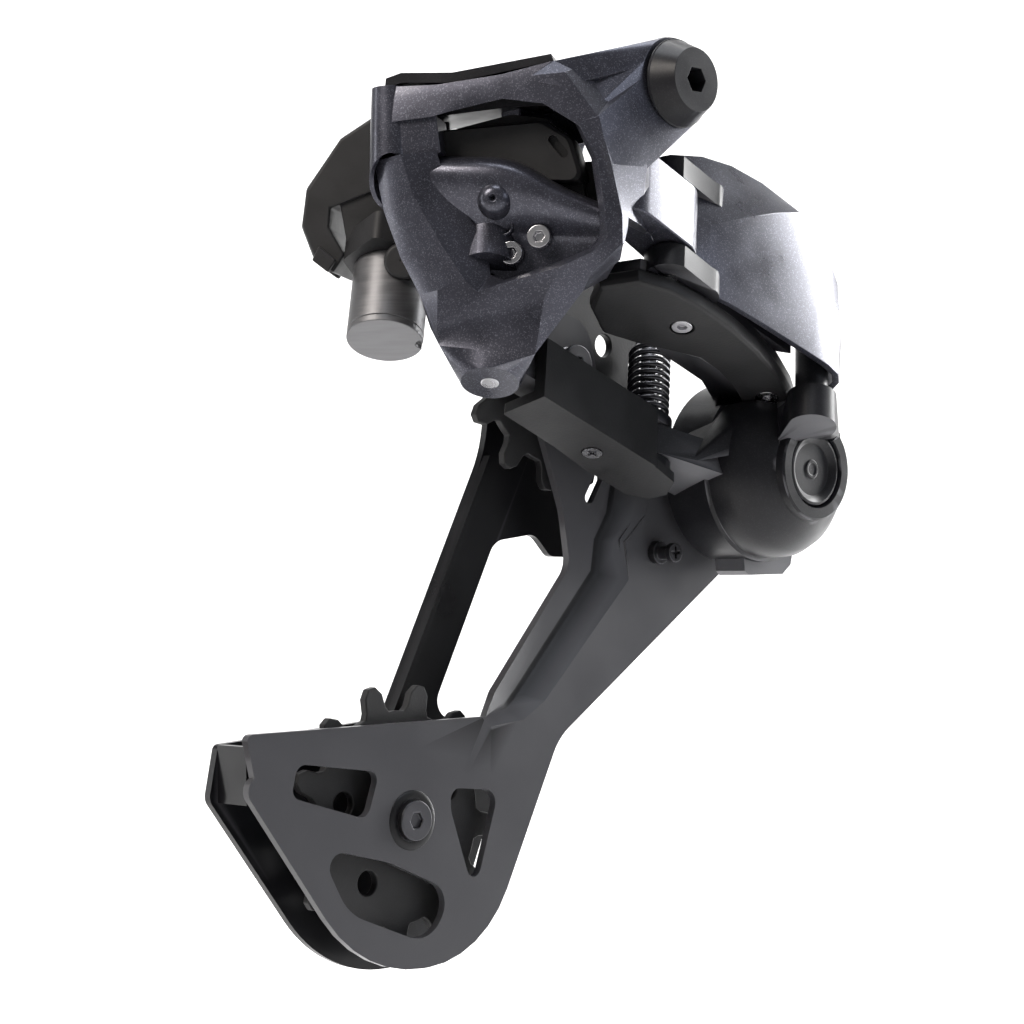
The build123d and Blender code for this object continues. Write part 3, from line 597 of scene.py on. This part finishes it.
def outer_link_skin():
    """Skin that wraps from the rear slot round the outer pivot at the front."""
    mesh = bmesh.new()
    stations = [
        (19.6, -30.5, -32.0, -30.6, 31.3, 53.0), (29.0, -33.0, -35.0, -32.0, 37.6, 57.4),
        (38.0, -34.6, -37.0, -33.2, 43.6, 59.6), (48.0, -35.4, -38.0, -34.2, 50.2, 60.2),
        (57.0, -36.0, -38.0, -35.0, 55.6, 59.2), (64.0, -36.4, -37.4, -35.6, 55.0, 56.8),
        (70.0, -36.6, -36.8, -35.4, 51.0, 52.6), (74.5, -36.0, -36.0, -34.6, 46.2, 47.8),
        (77.6, -34.0, -34.0, -33.0, 41.4, 42.8), (79.2, -31.0, -31.0, -30.2, 37.6, 38.8),
        (79.0, -27.6, -27.6, -27.0, 35.4, 36.4),
    ]
    grid = sheet(mesh, [panel_section(*station) for station in stations])
    near = grid[0][3:5]
    for along, across, peak in ((16.0, -28.6, 50.0), (12.9, -26.4, 47.7)):
        ends = (link_at(along, across - 0.8, SLOT_TOP), link_at(along, across, peak))
        far = [mesh.verts.new(end) for end in ends]
        mesh.faces.new((near[0], near[1], far[1], far[0]))
        near = far
    return piece("outer_link_skin", mesh, "outer_link", "anthracite_paint", ["outer_link_panel"], bevel=0.5,
                 segments=3, thick=1.6, angle=11)


def crescent_points(inset, h):
    """Outline of the bumper and of the link's foot, along and across the links."""
    outer = [(11.0, -19.5), (14.3, -27.5), (21.0, -30.8), (29.4, -32.0), (41.0, -32.2), (52.0, -31.0),
             (63.0, -28.2), (73.0, -24.4), (79.0, -21.2), (84.0, -17.6)]
    inner = [(83.0, -11.2), (76.5, -10.2), (70.5, -13.6), (62.0, -17.0), (53.5, -18.8), (46.0, -18.2),
             (38.5, -15.0), (31.5, -11.2), (24.5, -8.4), (15.8, -12.6)]
    center = (46.0, -21.0)
    points = []
    for a, b in outer + inner:
        gap = math.hypot(a - center[0], b - center[1])
        k = (gap - inset) / gap
        points.append(link_at(center[0] + (a - center[0]) * k, center[1] + (b - center[1]) * k, h))
    return points


def outer_link_frame():
    """Foot plate, the three pivot arms and the dark inner web of the outer link."""
    mesh = bmesh.new()
    loft(mesh, [crescent_points(0.8, PANEL_FOOT + 0.1), crescent_points(0.8, 24.4)])
    for first, second, low, high in (((*OUTER_B, 5.6), (31, -31, 4), PANEL_FOOT, 27.0),
                                     ((*OUTER_B, 5.6), (32, -32, 3), 44.4, 50.0),
                                     ((*OUTER_P, 4.2), (61, -33.0, 2.4), 31.7, 38.0)):
        loft(mesh, [stadium(link_at, first, second, low), stadium(link_at, first, second, high)])
    under = [(40, -17), (38, -10), (46, -9), (59, -9), (67, -6), (80, -8), (83, -11.5), (72, -16), (54, -20)]
    loft(mesh, [[link_at(a, b, h) for a, b in under] for h in (22.4, 24.2)])
    web = [(33, -26.5), (60, -27.5), (64, -30.5), (33, -30.5)]
    loft(mesh, [[link_at(a, b, h) for a, b in web] for h in (24.0, 50.0)])
    return piece("outer_link_frame", mesh, "outer_link", "black_alloy", (), bevel=0.4)


BUMPER_LOW = 18.0
BUMPER_SPOTS = [(34.0, -23.5), (68.5, -20.5)]
WELL_R = 2.7


def bumper_piece():
    """Crescent with a rolled lower edge; the screws sink in round wells."""
    mesh = bmesh.new()
    levels = [(1.2, BUMPER_LOW), (0.4, BUMPER_LOW + 0.4), (0.0, BUMPER_LOW + 1.4), (0.0, PANEL_FOOT - 0.6),
              (0.5, PANEL_FOOT)]
    rings = loft(mesh, [crescent_points(inset, h) for inset, h in levels], caps=False)
    mesh.faces.new(rings[-1])
    wells = []
    for spot in BUMPER_SPOTS:
        well = loft(mesh, [circle(link_at, spot, WELL_R, BUMPER_LOW + h) for h in (0.0, 2.0)], caps=False)
        mesh.faces.new(well[-1])
        wells.append(well[0])
    fill(mesh, [rings[0]] + wells)
    return piece("bumper_rubber", mesh, "outer_link", "dark_plastic", ["bumper"], bevel=0.2, angle=20)


# ---------------------------------------------------------------- cage knuckle
P_X, P_Z = CAGE_PIVOT.x / MM, CAGE_PIVOT.z / MM


def p_knuckle():
    mesh = bmesh.new()
    sections = [(16.6, 20.4), (16.2, 21.0), (4.4, 21.0), (4.0, 20.4), (3.8, 20.2), (-1.0, 19.9), (-4.0, 18.4),
                (-7.0, 15.4), (-8.8, 12.8), (-9.2, 12.0), (-10.9, 11.8), (-11.3, 11.3)]
    recess = [(-11.3, 9.0), (-10.6, 8.7), (4.1, 8.6), (4.1, 5.0), (16.6, 5.0)]
    lathe(mesh, side_at, (P_X, P_Z), [(radius, level) for level, radius in sections + recess], 72)
    return piece("p_knuckle_shell", mesh, "cage_knuckle", "black_alloy", ["p_knuckle_body"], bevel=0.2,
                 angle=30, rooms=[BUMPER_ROOM])


def drum_arc(radius, level, steps, start, end):
    return circle(side_at, (P_X, P_Z), radius, level, steps, start, end)


def p_knuckle_ear():
    """Web that rises from the drum to the outer pivot, and the arm to the inner pivot."""
    mesh = bmesh.new()
    web = circle(link_at, OUTER_P, LUG_R, 9.0) + circle(link_at, OUTER_P, LUG_R, 17.2)
    web += drum_arc(12.0, -8.0, 24, 30, 150) + drum_arc(11.4, -11.0, 24, 40, 140)
    hull(mesh, web)
    arm = circle(link_at, INNER_P, LUG_R, 0.1) + circle(link_at, INNER_P, LUG_R, 7.5)
    arm += circle(link_at, (70, -4), 8, 0.1) + circle(link_at, (70, -4), 8, 7.5)
    hull(mesh, arm)
    shoulder = [link_at(60, -6, 7.4), link_at(60, 3, 7.4), link_at(57, -7, 0.5)]
    shoulder += drum_arc(20.4, 3.0, 12, 100, 170) + drum_arc(19.0, -2.0, 12, 100, 170)
    hull(mesh, shoulder)
    tear = [(-11.4, 3.0), (-9.0, 12.0), (-4.0, 20.0), (2.0, 22.5), (8.0, 19.0), (11.4, 8.0), (11.0, -4.0),
            (0.0, -11.4), (-10.0, -6.0)]
    hull(mesh, [side_at(P_X + x, P_Z + z, y) for y in (-9.2, -4.0) for x, z in tear])
    foot = [(43.5, -98), (44, -104.2), (45.4, -105.2), (57.5, -105.2), (60.5, -103), (62, -98)]
    loft(mesh, [[side_at(x, z, y) for x, z in foot] for y in (6.0, 15.0)])
    return piece("p_knuckle_ear", mesh, "cage_knuckle", "black_alloy", (), bevel=0.5, segments=3, angle=25,
                 rooms=[BUMPER_ROOM, CAP_ROOM])


def outer_pivot_post():
    mesh = bmesh.new()
    loft(mesh, [circle(link_at, OUTER_P, POST_R, h) for h in (15.0, 31.2)])
    return piece("outer_pivot_post", mesh, "cage_knuckle", "black_alloy", (), bevel=0.3)


def cap_dish():
    """Dished cap over the cage axle with a turned rim and a small centre."""
    mesh = bmesh.new()
    centre = [(0.01, -9.75), (1.2, -9.75), (1.5, -10.0), (2.0, -10.0), (2.3, -9.7)]
    turned_rim = [(6.0, -9.75), (6.6, -10.3), (7.6, -10.9), (8.2, -10.8), (8.4, -10.2), (8.4, -9.4)]
    profile = centre + turned_rim + [(0.01, -9.4)]
    lathe(mesh, side_at, (P_X, P_Z), profile, 72)
    return piece("axle_cap", mesh, "cage_knuckle", "black_alloy", ["pivot_cap"], bevel=0.08)


# ---------------------------------------------------------------- cage
PLATE = 1.8
OUTER_Y = 19.4
STEP = 2.2                     # how far the rear band of the arm is set back
RIDGE = [(30.0, -75.6), (26.0, -84.0), (23.9, -90.7), (18.9, -97.4), (18.0, -105.4), (-9.1, -131.1),
         (-15.6, -134.8), (-24.5, -136.4)]
RAMP_FOOT = [(20.0, -76.4), (16.5, -84.0), (15.0, -90.7), (10.9, -96.6), (9.6, -103.8), (-15.2, -129.6),
             (-19.4, -132.6), (-26.0, -134.2)]
WINDOWS = [
    [(-79.2, -147.2, 2), (-77.6, -140.6, 2.5), (-56.2, -143.8, 2), (-59.6, -153.3, 2.5)],
    [(-36.6, -148.6, 2.4), (-22.6, -150.3, 3), (-30.3, -172.2, 2), (-36.6, -153.5, 8)],
    [(-72.6, -157.8, 3), (-54.0, -162.6, 12), (-36.5, -170.5, 5), (-43.0, -181.0, 7), (-65.0, -172.0, 12)],
]


def step_level(x):
    """Depth of the rear band, which fades into the main face at its lower end."""
    return OUTER_Y + STEP * min(1.0, max(0.08, (x + 27.0) / 12.0))


def outer_plate():
    """Stepped sheet: the rear band of the arm lies behind the main face, joined by a slope."""
    mesh = bmesh.new()
    ridge = [mesh.verts.new(side_at(x, z, OUTER_Y)) for x, z in RIDGE]
    foot = [mesh.verts.new(side_at(x, z, step_level(x))) for x, z in RAMP_FOOT]
    main = rounded([(-91.3, -144.3, 3), (-61.3, -185.6, 32), (-27.9, -185.6, 26), (-4.1, -140.2, 14),
                    (61.0, -98.0, 14), (64.0, -71.0, 12), (44.0, -69.5, 8)])
    start = rounded([(-26.0, -134.2, 0), (-89.8, -134.0, 1.5), (-91.3, -144.3, 3)])[1:8]
    loop = ridge + [foot[-1]] + [mesh.verts.new(side_at(x, z, OUTER_Y)) for x, z in start + main]
    holes = [[mesh.verts.new(side_at(x, z, OUTER_Y)) for x, z in rounded(w)] for w in WINDOWS]
    fill(mesh, [loop] + holes)
    for i in range(len(ridge) - 1):
        mesh.faces.new((ridge[i], ridge[i + 1], foot[i + 1], foot[i]))
    edge = rounded([(-26.0, -133.7, 0), (-22.5, -129.2, 7), (2.4, -102.5, 6), (0.6, -90.0, 20),
                    (-9.5, -62.0, 10), (-5.0, -46.0, 8), (9.0, -46.0, 8), (14.0, -66.0, 8),
                    (20.0, -74.5, 0)])[1:-1]
    band = foot + [mesh.verts.new(side_at(x, z, step_level(x))) for x, z in edge]
    slot = stadium(side_at, (9.0, -87.0, 1.4), (12.0, -82.5, 1.4), OUTER_Y + STEP)
    fill(mesh, [band, [mesh.verts.new(p) for p in slot]])
    creases = [mesh.edges.get(pair) for line in (ridge, foot) for pair in zip(line, line[1:])]
    creases = [e for e in creases if e and len(e.link_faces) == 2]
    bmesh.ops.bevel(mesh, geom=creases, offset=0.9 * MM, segments=3, profile=0.5, affect="EDGES")
    return piece("outer_plate_sheet", mesh, "cage", "cage_black", ["outer_cage_plate"], bevel=0.3,
                 thick=PLATE, outward=Vector((0, -1, 0)))


def pulley_collar():
    """Pressed ring round the tension pulley's bolt."""
    mesh = bmesh.new()
    center = (-47.5, -154.5)
    profile = [(4.5, 19.4), (4.5, 19.1), (5.6, 19.05), (6.2, 19.25), (6.3, 19.4)]
    lathe(mesh, side_at, center, profile, 48)
    return piece("pulley_collar", mesh, "cage", "cage_black", (), bevel=0.05)


# ---------------------------------------------------------------- motor unit
def motor_cover():
    outline = [(-25.5, -3), (-34.3, -8.2), (-42.4, -18.8), (-43.6, -27.2), (-41.0, -34.2), (-36.3, -37.8),
               (-33.6, -33.8), (-37.0, -27.8), (-36.6, -23.6), (-28.2, -20.8), (-25.0, -20.0)]
    mesh = bmesh.new()
    rows = []
    for t, k in ((-8.2, 0.9), (-9.6, 0.1), (-24.4, 0.1), (-25.8, 0.9)):
        rows.append([face_at(s + k * (0.8 if s < -37.2 else 0.0), z - k * (0.8 if z > -19 else 0.0), t)
                     for s, z in outline])
    loft(mesh, rows)
    return piece("motor_cover", mesh, "body_knuckle", "dark_plastic", ["motor_shell"], bevel=0.5, segments=3)


def board_cover():
    """Tray that closes the back of the control board."""
    mesh = bmesh.new()

    def level(inset, t):
        left, right, low, high = -26.4 + inset, -12.6 - inset, -21.4 + inset, -5.4 - inset
        corners = [(left, low, 1.5), (right, low, 1.5), (right, high, 1.5), (left, high, 1.5)]
        return [face_at(s, z, t) for s, z in rounded(corners)]

    outer = loft(mesh, [level(0.0, -16.0), level(0.0, -22.4), level(0.7, -23.1)], caps=False)
    mesh.faces.new(outer[-1])
    inner = loft(mesh, [level(1.2, -16.0), level(1.2, -21.6)], caps=False)
    mesh.faces.new(inner[-1])
    fill(mesh, [outer[0], inner[0]])
    return piece("board_cover", mesh, "body_knuckle", "dark_plastic", (), bevel=0.15)


knuckle_lower()
board_cover()
knuckle_floor()
floor_dome()
window_box()
window_walls()
knuckle_upper()
knuckle_barrel()
outer_link_skin()
outer_link_frame()
bumper_piece()
p_knuckle()
p_knuckle_ear()
outer_pivot_post()
cap_dish()
outer_plate()
pulley_collar()
motor_cover()

# ---------------------------------------------------------------- stage, light and camera
def area_light(name, place, target, size, power, color=(1, 1, 1)):
    data = bpy.data.lights.new(name, "AREA")
    data.shape = "RECTANGLE"
    data.size, data.size_y = size
    data.energy = power
    data.color = color
    lamp = bpy.data.objects.new(name, data)
    bpy.context.collection.objects.link(lamp)
    lamp.location = place
    lamp.rotation_euler = (Vector(target) - Vector(place)).to_track_quat("-Z", "Y").to_euler()
    return lamp


CENTRE = Vector((0.0, 0.01, -0.09))
CAMERA = Vector((-0.3691, -0.3499, -0.0990))
LENS = 82.4
FORWARD = Vector((0.6896, 0.7240, 0.0171))
UP = Vector((0.0, -0.0236, 0.9997))


FLOOR_Z = -0.26
BEND_START, BEND_R = 0.9, 0.5


def stage():
    """Pale floor that curves up behind the object."""
    mesh = bpy.data.meshes.new("floor")
    profile = [(-1.6, 0.0), (BEND_START, 0.0)]
    for step in range(1, 13):
        angle = math.pi / 24 * step
        profile.append((BEND_START + BEND_R * math.sin(angle), BEND_R - BEND_R * math.cos(angle)))
    profile += [(BEND_START + BEND_R, 2.2)]
    forward = Vector((FORWARD.x, FORWARD.y, 0)).normalized()
    across = Vector((forward.y, -forward.x, 0))
    base = Vector((0, 0, FLOOR_Z))
    rows = [[base + forward * d + Vector((0, 0, h)) + across * w for w in (-2.5, 2.5)] for d, h in profile]
    points = [p for row in rows for p in row]
    faces = [(2 * i, 2 * i + 1, 2 * i + 3, 2 * i + 2) for i in range(len(rows) - 1)]
    mesh.from_pydata([tuple(p) for p in points], [], faces)
    mesh.polygons.foreach_set("use_smooth", [True] * len(mesh.polygons))
    floor = bpy.data.objects.new("floor", mesh)
    bpy.context.collection.objects.link(floor)
    mesh.materials.append(surface("floor_paper", (0.92, 0.92, 0.92), rough=0.8, grain=0.05, patches=0.01))


def camera():
    data = bpy.data.cameras.new("camera")
    data.lens = LENS
    data.sensor_width = 36
    data.clip_start = 0.01
    obj = bpy.data.objects.new("camera", data)
    bpy.context.collection.objects.link(obj)
    back = -FORWARD.normalized()
    right = UP.cross(back).normalized()
    turn = Matrix((right, back.cross(right), back)).transposed().to_4x4()
    obj.matrix_world = Matrix.Translation(CAMERA) @ turn
    bpy.context.scene.camera = obj


stage()
camera()
world = bpy.data.worlds.new("studio")
world.use_nodes = True
world.node_tree.nodes["Background"].inputs["Color"].default_value = (1, 1, 1, 1)
world.node_tree.nodes["Background"].inputs["Strength"].default_value = 0.22
bpy.context.scene.world = world
RIGHT = FORWARD.cross(UP).normalized()


def lamp_spot(right, up, back):
    """Place beside the object, measured along the camera's own axes in metres."""
    return CENTRE + RIGHT * right + UP * up - FORWARD * back


area_light("key", lamp_spot(-0.45, 0.50, 0.35), CENTRE, (0.30, 0.30), 6.0, (1.0, 0.93, 0.86))
area_light("top", lamp_spot(0.05, 0.70, 0.05), CENTRE, (0.40, 0.30), 3.0, (0.92, 0.95, 1.0))
area_light("rim", lamp_spot(0.55, 0.15, -0.30), CENTRE, (0.12, 0.60), 7.0)
area_light("cool", lamp_spot(0.60, 0.30, 0.25), CENTRE, (0.25, 0.25), 0.9, (0.85, 0.9, 1.0))
area_light("side", lamp_spot(-0.60, 0.0, -0.05), CENTRE, (0.08, 0.60), 1.0)
area_light("wash", lamp_spot(0.0, 0.95, -0.45), lamp_spot(0, 0.2, -1.3), (1.2, 0.4), 22.0)
bpy.context.scene.view_settings.view_transform = "Standard"

bpy.context.view_layer.update()
